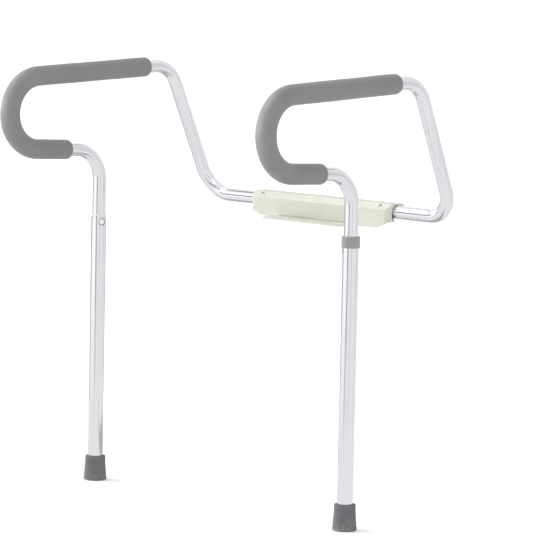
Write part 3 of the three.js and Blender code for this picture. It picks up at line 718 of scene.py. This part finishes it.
for side, s in SIDES:
    x, arm, leg = s * LEG_X, f"arm_{side}", f"leg_{side}"
    holes = [((x, 0, BUTTON_Z), (0, 1, 0), BUTTON_R + 0.5, 7, 5)]
    holes += [((s * w, LAT_Y, LAT_Z), (0, 0, -1), 3.1, 5.2, 4) for w in WIDTH_X]
    tube = sweep(f"arm_tube_{side}_fine", mirrored(ARM, s), TUBE_R, TUBE_RI, 48, TUBE_END, (0, 1, 0), holes)
    place(tube, arm, f"arm_tube_{side}", M_ALU)

    sleeve = sweep(f"grip_{side}_fine", mirrored(GRIP, s), GRIP_R, GRIP_RI, 64, GRIP_END, (1, 0, 0),
                   wobble=swell, angle=60)
    place(sleeve, arm, f"grip_{side}", M_FOAM)
    MATT.append(sleeve)

    plug = lathe(f"tube_plug_{side}_fine", rounded([
        (0, 3.5), (5, 3.4, 3), (10.8, 2.2, 1.6), (10.8, 0.45, 0.2), (9.3, 0.45, 0.2), (9.3, -3, 0.2), (8.9, -3.6, 0.2),
        (8.9, -5, 0.2), (9.3, -5.6, 0.2), (9.3, -8.5, 0.2), (8.9, -9.1, 0.2), (8.9, -10.5, 0.2), (9.2, -11, 0.2),
        (9.0, -14, 0.8), (0, -14)]), (s * LAT_END_X, LAT_Y, LAT_Z), (-s, 0, 0), 48)
    place(plug, arm, f"tube_plug_{side}", M_NYLON)

    glide = lathe(f"leg_glide_{side}_fine", rounded([
        (0, -5), (10.6, -5, 0.4), (11.5, -4, 0.3), (11.5, -0.45, 0.2), (9.4, -0.45, 0.15), (9.4, 3.5, 0.2),
        (9.0, 4, 0.2), (9.0, 6, 0.2), (9.4, 6.5, 0.2), (9.3, 11, 0.2), (9.0, 15, 0.6), (0, 16)]),
        (x, 0, LEG_IN_Z), (0, 0, 1), 48)
    place(glide, arm, f"leg_glide_{side}", M_NYLON)

    button = lathe(f"height_button_{side}_fine", rounded([
        (0, 5.25), (4.6, 5.25, 0.3), (4.6, 7.55, 0.3), (BUTTON_R, 7.55, 0.2), (BUTTON_R, 13.6, 1.2),
        (2.9, 15.5, 1.6), (0, 16.05)], seg=7), (x, 0, BUTTON_Z), (0, 1, 0), 48)
    place(button, f"height_button_{side}", f"height_button_{side}", M_STEEL)

    nub = np.array((-s * 0.978, -0.208, 0))
    path = line(np.array((x, 0, LEG_BOT_Z)), np.array((x, 0, LEG_TOP_Z)), 14,
                [m for k in range(-1, 6) for m in marks(BUTTON_Z + k * HEIGHT_PITCH - LEG_BOT_Z, 7, 8)]
                [:-1] + marks(MOUTH_NUB_Z - LEG_BOT_Z, 7.8, 8))
    holes = [((x, 0, BUTTON_Z + k * HEIGHT_PITCH), (0, 1, 0), BUTTON_R + 0.5, 7.0, 6) for k in range(-1, 6)]
    holes += [((x, 0, MOUTH_NUB_Z), nub, NUB_HOLE_R, 7.8, 7)]
    tube = sweep(f"leg_tube_{side}_fine", path, LEG_R, LEG_RI, 72, LEG_END, (0, 1, 0), holes)
    place(tube, leg, f"leg_tube_{side}", M_LEG)

    bush = lathe(f"leg_bush_{side}_fine", rounded([
        (11.38, LEG_TOP_Z - BUSH_SKIRT), (11.6, LEG_TOP_Z - BUSH_SKIRT + 0.2), (11.6, LEG_TOP_Z + 0.05), (13.1, LEG_TOP_Z + 0.05, 0.15),
        (13.2, LEG_TOP_Z + 0.7, 0.3), (11.7, LEG_TOP_Z + 2.3, 0.8), (11.38, LEG_TOP_Z + 2.3)], closed=True, seg=5),
        (x, 0, 0), (0, 0, 1), 72)
    dome = lathe("tool", rounded([(0, 11.42), (NUB_R + 0.62, 11.42), (NUB_R + 0.62, 12.9, 0.5), (3.4, 13.7, 2.0), (1.5, 14.1, 3), (0, 14.15)],
                                 seg=6),
                 np.array((x, 0, MOUTH_NUB_Z + 0.55)) - 0.86 * np.array((-s * 0.208, 0.978, 0)), nub, 48)
    boolean(bush, dome, "UNION")
    boolean(bush, rod((x, 0, MOUTH_NUB_Z - 12), (x, 0, MOUTH_NUB_Z + 9), 11.38, 72), "DIFFERENCE")
    place(tidy(bush), leg, f"leg_bush_{side}", M_BUSH)

    tip = lathe(f"rubber_tip_{side}_fine", rounded([
        (0, 1.1), (2.5, 1.1, 0.2), (3.0, 0, 0.25), (6.0, 0, 0.25), (6.5, 1.1, 0.2), (8.5, 1.1, 0.2), (9.0, 0, 0.25),
        (12.0, 0, 0.25), (12.5, 1.1, 0.2), (14.5, 1.1, 0.2), (15.0, 0, 0.25), (19.6, 0, 0.9), (20.0, 3.9, 0.5),
        (19.05, 4.5, 0.3), (18.95, 5.1, 0.3), (19.3, 5.9, 0.6), (18.6, 16, 12), (17.75, 27, 8), (17.5, 32.2, 0.3),
        (17.2, 32.7, 0.2), (17.42, 33.3, 0.3), (17.42, 35.3, 0.3), (17.12, 35.8, 0.2), (17.38, 36.4, 0.3),
        (17.35, 41.2, 2.3), (15.2, 42, 1.2), (13.5, 41.7, 0.4), (13.02, 40.6, 0.3), (13.02, 5.0), (0, 5.0)], seg=5),
        (x, 0, 0), (0, 0, 1), 96)
    place(tip, leg, f"rubber_tip_{side}", M_RUBBER)

collar = lathe("leg_collar_right_fine", rounded([
    (13.02, COLLAR_Z0 + 0.4, 0.2), (13.4, COLLAR_Z0, 0.2), (14.5, COLLAR_Z0, 0.7), (COLLAR_R, COLLAR_Z0 + 1.4, 0.3),
    (COLLAR_R, COLLAR_Z0 + 9.4), (COLLAR_R, COLLAR_Z1 - 0.9, 0.9), (14.0, COLLAR_Z1, 0.4), (12.3, COLLAR_Z1, 0.5),
    (11.52, COLLAR_Z1 - 0.9, 0.3), (11.52, LEG_TOP_Z + 3), (13.65, LEG_TOP_Z + 3), (13.65, LEG_TOP_Z - 0.3),
    (13.02, LEG_TOP_Z - 0.3)], closed=True, seg=5), (LEG_X, 0, 0), (0, 0, 1), 96)
place(collar, "leg_right", "leg_collar_right", M_GREY)

# ------------------------------------------------------------------ bracket housing
def cut_in(d, r):
    """How far a rounded corner of radius r has come in, d past its start."""
    return 0.0 if d <= 0 else r - math.sqrt(max(r * r - d * d, 0.0))


def housing_row(x, t):
    """Section of the housing at x, inset by t: front wall, sloping shoulder, top, rear wall."""
    e = 1.1 if t == 0 else 0.0
    dy, dr = cut_in(abs(x) - (BR_HALF - 10), 10 - t), cut_in(abs(x) - (BR_HALF - 4), 4 - t)
    dz = cut_in(abs(x) - (BR_HALF - e), e) if e else 0.0
    zb = BR_Z0 + max(0.0, abs(x) - 141) * 15.6 / 34
    top, lean = BR_Z1 - t - dz, 1.8 / 31.3
    drop = t * math.sqrt(2) + 1.2 * dz
    front = -24 + t + dy
    za = (front + 22.2 + 491.3 - BR_Z0 * lean - drop) / (1 - lean)
    zs = min(za, top - 0.5)
    ya, yb = front + (zs - BR_Z0) * lean, -22.2 + top - 491.3 + drop
    yb = max(yb, ya + 0.5)
    if t:
        bottom = [(front - 0.5, zb - 1.6), (front + (zb + 0.5 - BR_Z0) * lean, zb + 0.5)]
        rear = [(BR_REAR - t - dr, zb + 0.5), (BR_REAR - t - dr + 0.5, zb - 1.6)]
        fillet = (1.2, 1.2, 2.8)
    else:
        bottom = [(front + (zb - BR_Z0) * lean + 0.45, zb), (front + (zb + 0.45 - BR_Z0) * lean, zb + 0.45)]
        rear = [(BR_REAR - dr, zb + 0.45), (BR_REAR - dr - 0.45, zb)]
        fillet = (2.6, 2.6, 5.0)
    pts = bottom + [(ya, zs, fillet[0]), (yb, top, fillet[1]), (BR_REAR - t - dr, top, fillet[2])] + rear
    return [(x, yl(y), z) for y, z in rounded(pts, seg=6)]


BR_REAR = 18


def housing_body(t):
    half = BR_HALF - t
    ends = [BR_HALF - 10 + (10 - t) * math.sin(math.pi / 2 * k / 14) for k in range(15)]
    ends += [half - 1.1 * (1 - math.sin(math.pi / 2 * k / 4)) for k in range(5)] if t == 0 else []
    ends = sorted({round(v, 4) for v in ends} | {BR_HALF - 4.0, 141.0, 147.0, 152.0})
    ends = [v for i, v in enumerate(ends) if i == 0 or v - ends[i - 1] > 0.02 or v == round(half, 4)]
    xs = [-v for v in reversed(ends)] + [float(v) for v in range(-120, 121, 20)] + ends
    return loft([housing_row(v, t) for v in xs])


housing = housing_body(0)
housing.name = "bracket_housing_fine"
boolean(housing, housing_body(2.4), "DIFFERENCE")
for s in (-1, 1):
    # the rear wall is cut away under the tube's way out
    pts = [(s * 108, BR_Z0), (s * 137, BR_Z0 + 14.5), (s * 166, BR_Z0 + 15.5), (s * 166, BR_Z0 - 2), (s * 108, BR_Z0 - 2)]
    boolean(housing, prism(pts, yl(-5), yl(25), "xzy"), "DIFFERENCE")
    # end wall: a way out round the tube, square at the lower front
    boolean(housing, lathe("tool", [(0, -4), (11.9, -4), (11.9, 2.3), (12.3, 2.85), (12.3, 5), (0, 5)],
                           (s * (BR_HALF - 2.8), LAT_Y, LAT_Z), (s, 0, 0), 72, run=False), "DIFFERENCE")
    boolean(housing, prism(rounded([(yl(-12.0), LAT_Z - 12.3, 0.5), (yl(-3), LAT_Z - 12.3), (yl(-3), LAT_Z - 1),
                                    (yl(-12.0), LAT_Z - 1)], closed=True), *sorted((s * 162, s * 166)), "yzx"), "DIFFERENCE")

N_, T_ = np.array((0, -math.sqrt(0.5), math.sqrt(0.5))), np.array((0, math.sqrt(0.5), math.sqrt(0.5)))
for s in (-1, 1):
    c = np.array((s * LOCK_X, yl(CAP_Y), LAT_Z + CAP_Z))
    rows = []
    for h, r in ((-7, CAP_R + 0.4), (-0.4, CAP_R + 0.4), (0.12, CAP_R + 0.85), (3, CAP_R + 3.8)):
        row = []
        for k in range(48):
            a = 2 * math.pi * (k + 0.5) / 48
            t = (2.4 if math.sin(a) > 0 else 0.0) + r * math.sin(a)
            row.append(c + N_ * h + np.array((1, 0, 0)) * r * math.cos(a) + T_ * t)
        rows.append(row)
    boolean(housing, loft(rows), "DIFFERENCE")
    for dx in (-5.8, 5.8):
        boolean(housing, prism([(yl(-22.0), LAT_Z - 13.0), (yl(-12.4), LAT_Z - 13.0), (yl(-12.4), LAT_Z - 6.0),
                                (yl(-21.2), LAT_Z - 2.0)], s * LOCK_X + dx - 1.1, s * LOCK_X + dx + 1.1, "yzx"), "UNION")
    boolean(housing, rod((s * (LOCK_X - 7.4), yl(-15.2), LAT_Z - 9.5), (s * (LOCK_X + 7.4), yl(-15.2), LAT_Z - 9.5),
                         1.8, 32), "DIFFERENCE")
    for bx in (30, 112):
        boolean(housing, prism([(yl(-22.2), BR_Z0 + BASE_T + 0.4), (yl(-12.6), BR_Z0 + BASE_T + 0.4), (yl(-12.6), 481),
                                (yl(-16), 493), (yl(-20.4), 489.6)], s * bx - 4, s * bx + 4, "yzx"), "UNION")
        boolean(housing, rod((s * bx, yl(-16.6), BR_Z0), (s * bx, yl(-16.6), 476), 1.8, 32), "DIFFERENCE")
boolean(housing, prism([(-TONGUE_X - 0.4, yl(-40)), (TONGUE_X + 0.4, yl(-40)), (TONGUE_X + 0.4, yl(-19)),
                        (-TONGUE_X - 0.4, yl(-19))], BR_Z0 - 1, BR_Z0 + BASE_T + 0.4), "DIFFERENCE")
place(tidy(housing, 28), "bracket", "bracket_housing", M_CREAM)


# ------------------------------------------------------------------ bracket base, screws, end bushes
def stadium(cx, cy, half, r, n=14):
    out = [(cx + half - r + r * math.cos(a), cy + r * math.sin(a)) for a in
           (-math.pi / 2 + math.pi * i / n for i in range(n + 1))]
    return out + [(cx - half + r + r * math.cos(a), cy + r * math.sin(a)) for a in
                  (math.pi / 2 + math.pi * i / n for i in range(n + 1))]


base = slab("bracket_base_fine", rounded([
    (-137, yl(-21.2), 1.5), (-TONGUE_X, yl(-21.2), 2.5), (-TONGUE_X, yl(TONGUE_Y), 13), (TONGUE_X, yl(TONGUE_Y), 13),
    (TONGUE_X, yl(-21.2), 2.5), (137, yl(-21.2), 1.5), (105.6, yl(12.6), 3), (103, yl(15.2), 3), (-103, yl(15.2), 3),
    (-105.6, yl(12.6), 3)],
    closed=True, seg=8), BR_Z0, BR_Z0 + BASE_T, 0.55)
for sx in (-SLOT_X, SLOT_X):
    rows = []
    for h, g in ((BR_Z0 - 2, 2.5), (BR_Z0 - 0.02, 0.52), (BR_Z0 + 0.5, 0), (BR_Z0 + 2.5, 0), (BR_Z0 + 3.02, 0.52),
                 (BR_Z0 + 5, 2.5)):
        rows.append([(px, py, h) for px, py in stadium(sx, yl(SLOT_Y), SLOT_HALF + g, SLOT_R + g)])
    boolean(base, loft(rows), "DIFFERENCE")
for sx in (-104, -88, 88, 104):
    rib = prism([(yl(-11), BR_Z0 + 1), (yl(11), BR_Z0 + 1), (yl(10.8), LAT_Z - 5), (yl(-10.8), LAT_Z - 5)],
                sx - 1.5, sx + 1.5, "yzx")
    boolean(rib, rod((sx - 4, LAT_Y, LAT_Z), (sx + 4, LAT_Y, LAT_Z), TUBE_R + 0.5, 64), "DIFFERENCE")
    boolean(base, rib, "UNION")
boolean(base, prism([(yl(-11), BR_Z0 + 1), (yl(11), BR_Z0 + 1), (yl(10.6), LAT_Z + 8), (yl(-10.6), LAT_Z + 8)],
                    -1.5, 1.5, "yzx"), "UNION")
SCREW_X = (-112, -30, 30, 112)
for bx in SCREW_X:
    boolean(base, lathe("tool", [(0, -2), (4.1, -2), (4.1, -0.05), (3.9, 0), (1.9, 2.2), (1.9, 6), (0, 6)],
                        (bx, yl(-16.6), BR_Z0), (0, 0, 1), 40, run=False), "DIFFERENCE")
place(tidy(base, 28), "bracket", "bracket_base", M_CREAM)

for i, bx in enumerate(SCREW_X):
    prof = [(0, 0.3), (2.7, 0.3, 0.2), (3.05, 0.55, 0.1), (1.45, 1.95, 0.3)]
    z = 2.4
    while z < 12.6:
        prof += [(1.25, z), (1.48, z + 0.28), (1.48, z + 0.42), (1.25, z + 0.7)]
        z += 1.1
    prof += [(1.2, 13.2), (0.5, 15, 0.3), (0, 15.2)]
    screw = lathe(f"base_screw_{i + 1}_fine", rounded(prof, seg=3), (bx, yl(-16.6), BR_Z0), (0, 0, 1), 32)
    for a in (0.3, 0.3 + math.pi / 2):
        u, w = np.array((math.cos(a), math.sin(a))), np.array((-math.sin(a), math.cos(a)))
        c = np.array((bx, yl(-16.6)))
        pts = [c + u * p + w * q for p, q in ((-1.5, -0.3), (1.5, -0.3), (1.5, 0.3), (-1.5, 0.3))]
        top = [c + u * p + w * q for p, q in ((-0.5, -0.16), (0.5, -0.16), (0.5, 0.16), (-0.5, 0.16))]
        boolean(screw, loft([[(*p, BR_Z0 - 0.5) for p in pts], [(*p, BR_Z0 + 0.4) for p in pts],
                             [(*p, BR_Z0 + 1.5) for p in top]]), "DIFFERENCE")
    place(tidy(screw, weighted=False), "bracket", f"base_screw_{i + 1}", M_STEEL)

for side, s in SIDES:
    e0 = BR_HALF - 15 if s > 0 else -BR_HALF + 2.8
    bush = slab(f"end_bush_{side}_fine", rounded([
        (yl(-20.4), LAT_Z - 14.0, 0.8), (yl(15.2), LAT_Z - 14.0, 0.8), (yl(15.2), LAT_Z + 11.8, 3.4),
        (yl(-11.3), LAT_Z + 11.8, 1), (yl(-19.0), LAT_Z + 3.9, 1)], closed=True, seg=5), e0, e0 + 12.2, 0.4, "yzx")
    plan = [(s * (BR_HALF - 30), yl(-21.2)), (s * (BR_HALF - 10), yl(-21.2))]
    plan += [(s * (BR_HALF - 10 + 7.2 * math.sin(a)), yl(-14 - 7.2 * math.cos(a))) for a in
             (math.pi / 2 * k / 10 for k in range(1, 11))]
    plan += [(s * (BR_HALF - 2.8), yl(30)), (s * (BR_HALF - 30), yl(30))]
    boolean(bush, prism(plan, BR_Z0, BR_Z1 + 2), "INTERSECT")
    rows = []
    for h, g in ((e0 - 2, 2.5), (e0 - 0.02, 0.6), (e0 + 0.6, 0), (e0 + 11.6, 0), (e0 + 12.22, 0.6), (e0 + 14.2, 2.5)):
        rows.append([(h, LAT_Y + (TUBE_R + 0.35 + g) * math.cos(a), LAT_Z + (TUBE_R + 0.35 + g) * math.sin(a))
                     for a in (2 * math.pi * k / 72 for k in range(72))])
    boolean(bush, loft(rows), "DIFFERENCE")
    skew = [(s * (BR_HALF - 2), yl(-5.8)), (s * (BR_HALF - 15.5), yl(7.2)), (s * (BR_HALF - 15.5), yl(20)),
            (s * (BR_HALF - 2), yl(20))]
    boolean(bush, prism(skew, LAT_Z - 16, LAT_Z - 5), "DIFFERENCE")
    pocket = [(s * (BR_HALF - 2), yl(-12.4)), (s * (BR_HALF - 2), yl(-8.6)), (s * (BR_HALF - 12.8), yl(1.8)),
              (s * (BR_HALF - 12.8), yl(-12.4))]
    boolean(bush, prism(pocket, LAT_Z - 12.2, LAT_Z - 3), "DIFFERENCE")
    place(tidy(bush, 28), "bracket", f"end_bush_{side}", M_CREAM)

    SH = np.array((s * LOCK_X, yl(CAP_Y), LAT_Z + CAP_Z))
    cap = lathe(f"lock_button_{side}_fine", rounded([
        (0, -CAP_DEPTH), (CAP_R, -CAP_DEPTH, 0.3), (CAP_R, -0.3, 0.6), (1.4, 0.05, 1.5), (0, 0.15)], seg=6), SH, N_, 48)
    boolean(cap, lathe("tool", rounded([(0, -4.4), (4.5, -4.4, 0.25), (4.5, -3.0, 0.25), (0, -3.0)], seg=3),
                       SH + np.array((0, 0.64, 0.64)), N_, 48), "UNION")
    lx0 = s * LOCK_X - 1.5
    boolean(cap, prism([(yl(-18.9), LAT_Z - 2), (yl(-13.0), LAT_Z - 2), (yl(-14.6), LAT_Z + 5.8),
                        (yl(-17.8), LAT_Z + 5.8)], lx0 - 0.35, lx0 + 3.35, "yzx"), "DIFFERENCE")
    place(tidy(cap), f"width_lock_{side}", f"lock_button_{side}", M_DARK)

# ------------------------------------------------------------------ CAD nodes that stay
for side, _ in SIDES:
    for node, mat, width in ((f"height_spring_{side}", M_STEEL, 0.00012), (f"tip_washer_{side}", M_STEEL, 0.0002),
                             (f"lock_rocker_{side}", M_STEEL, 0.00025), (f"rocker_pivot_{side}", M_STEEL, 0.0002),
                             (f"lock_spring_{side}", M_STEEL, 0.0)):
        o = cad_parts[node]
        if not o.material_slots:
            o.data.materials.append(mat)
        for slot in o.material_slots:
            slot.material = mat
        if width:
            mod = o.modifiers.new("edges", "BEVEL")
            mod.width, mod.segments, mod.limit_method, mod.angle_limit = width, 2, "ANGLE", math.radians(40)

# ------------------------------------------------------------------ stage and light
def card(name, mat, verts, faces, glossy_only=False):
    mesh = bpy.data.meshes.new(name)
    mesh.from_pydata(verts, [], faces)
    o = bpy.data.objects.new(name, mesh)
    mesh.materials.append(mat)
    bpy.context.scene.collection.objects.link(o)
    if glossy_only:
        o.visible_camera = o.visible_diffuse = o.visible_shadow = o.visible_transmission = False
        o.visible_volume_scatter = False
    return o


def glow(name, level, tint=(1, 1, 1)):
    m = bpy.data.materials.new(name)
    m.use_nodes = True
    t = m.node_tree
    t.nodes.clear()
    e, o = t.nodes.new("ShaderNodeEmission"), t.nodes.new("ShaderNodeOutputMaterial")
    e.inputs["Color"].default_value = (*tint, 1)
    e.inputs["Strength"].default_value = level
    t.links.new(e.outputs[0], o.inputs["Surface"])
    return m


fm = Mat("floor")
fv = fm.coords()
fm.set(base_color=fm.mix(fm.noise(fv, 3.0, 3), (0.93, 0.93, 0.935), (0.95, 0.95, 0.952)),
       roughness=fm.span(fm.noise(fv, 40, 4), 0.55, 0.7), specular_ior_level=0.2)
# Each foot stands on its own half of the floor, which goes up and down with that leg. The
# right half reaches a little way under the left one, so no gap opens as the arms slide, and a
# riser closes the step between the halves.
for side, x0, x1, z in (("left", 0, -150, -0.0004), ("right", -0.12, 150, -0.0009)):
    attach(card(f"floor_{side}", fm.m, [(x0, -150, z), (x1, -150, z), (x1, 150, z), (x0, 150, z),
                                         (x0, -150, z - 0.17), (x0, 150, z - 0.17)],
                 [(0, 1, 2, 3), (4, 0, 3, 5)]), f"leg_{side}")


def panel(name, level, az0, az1, rows, centre=(0, 0), tint=(1, 1, 1)):
    """A curved card through rows of (radius, height), seen only in reflections."""
    n = max(2, int(abs(az1 - az0) / 4))
    verts, faces = [], []
    for k in range(n + 1):
        a = math.radians(az0 + (az1 - az0) * k / n)
        verts += [(centre[0] + r * math.cos(a), centre[1] + r * math.sin(a), z) for r, z in rows]
    m = len(rows)
    for k in range(n):
        for j in range(m - 1):
            p = k * m + j
            faces.append((p, p + m, p + m + 1, p + 1))
    return card(name, glow(name, level, tint), verts, faces, True)


# One ring of white, grey and dark cards round the object: each band shows as a streak
# along the tubes. It runs over the floor to an upright wall, and softer bands lie near by.
COOL = (0.985, 0.985, 1)
WALL, BANDS = 8.0, (
    ("edge_left", 0.42, 0.60, 134, 202, 0.92), ("key", 1.07, 0.92, -158, -89, 9.0),
    ("streak_front", 0.33, 0.56, -89, -71, 9.0), ("fill_front", 0.86, 0.84, -71, -33, 9.0),
    ("streak_mid", 0.62, 0.76, -33, -24, 9.0), ("fill_mid", 0.84, 0.84, -24, 40, 9.0),
    ("streak_side", 0.64, 0.74, 40, 50, 9.0), ("fill_side", 0.80, 0.82, 50, 96, 9.0),
    ("edge_right", 0.46, 0.60, 96, 134, 0.92))
# The cards that lie on the floor go with it; a second set waits below for a lowered foot.
LOW = -0.1262
for nm, far, near, az0, az1, up in BANDS:
    panel(nm + "_wall", far, az0, az1, [(WALL, LOW), (WALL, up)], tint=COOL)
    for z, tag in ((0.004, ""), (LOW, "_low")):
        flat = [panel(nm + "_far" + tag, far, az0, az1, [(2.6, z), (WALL, z)], tint=COOL),
                panel(nm + "_near" + tag, near, az0, az1, [(1.2, z), (2.6, z)], tint=COOL)]
        if not tag:
            for o in flat:
                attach(o, "leg_right")
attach(panel("near_floor", 0.84, 0, 360, [(0.0, 0.003), (1.2, 0.003)], tint=COOL), "leg_right")
panel("near_floor_low", 0.84, 0, 360, [(0.0, LOW - 0.001), (1.2, LOW - 0.001)], tint=COOL)
for side, s in SIDES:
    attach(panel(f"edge_low_{side}", 0.46, 112, 160, [(0.05, 0.005), (0.9, 0.005)],
                  (s * LEG_X * MM, Y0 * MM)), f"leg_{side}")
# high and low cards for the lateral tubes
panel("high_streak", 0.30, 163, 197, [(7.8, 6.5), (7.8, 8.3)])
panel("low_streak", 0.20, -152, -122, [(7.8, 0.56), (7.8, 2.3)])
panel("high_key", 1.15, -194, -122, [(7.9, 2.3), (7.9, 9.0)], tint=COOL)

world = bpy.data.worlds.new("studio")
bpy.context.scene.world = world
world.use_nodes = True
bg = world.node_tree.nodes["Background"]
bg.inputs["Color"].default_value = (0.985, 0.99, 1.0, 1)
bg.inputs["Strength"].default_value = 0.88


def sun_lamp(name, energy, angle, towards, colour):
    sun = bpy.data.objects.new(name, bpy.data.lights.new(name, "SUN"))
    sun.data.energy, sun.data.angle, sun.data.color = energy, math.radians(angle), colour
    bpy.context.scene.collection.objects.link(sun)
    sun.rotation_mode = "QUATERNION"
    sun.rotation_quaternion = Vector(towards).to_track_quat("-Z", "Y")
    return sun


sun_lamp("key", 1.1, 38, (0.62, 0.42, -1.0), (1, 0.995, 0.985))
sun_lamp("side", 2.6, 45, (0.92, 0.37, -0.14), (1, 1, 1))
sun_lamp("fill", 0.8, 80, (-0.85, 0.30, -0.35), (1, 1, 1))

# A strip light at the side that only the foam sleeves catch.
matt = bpy.data.collections.new("matt")
for o in MATT:
    matt.objects.link(o)
strip = sun_lamp("strip", 2.95, 44, (0.52, 0.85, -0.05), (1, 1, 1))
strip.light_linking.receiver_collection = matt

vs = bpy.context.scene.view_settings
vs.view_transform, vs.look, vs.exposure, vs.gamma = "Standard", "None", 0.0, 1.0

bpy.context.view_layer.update()
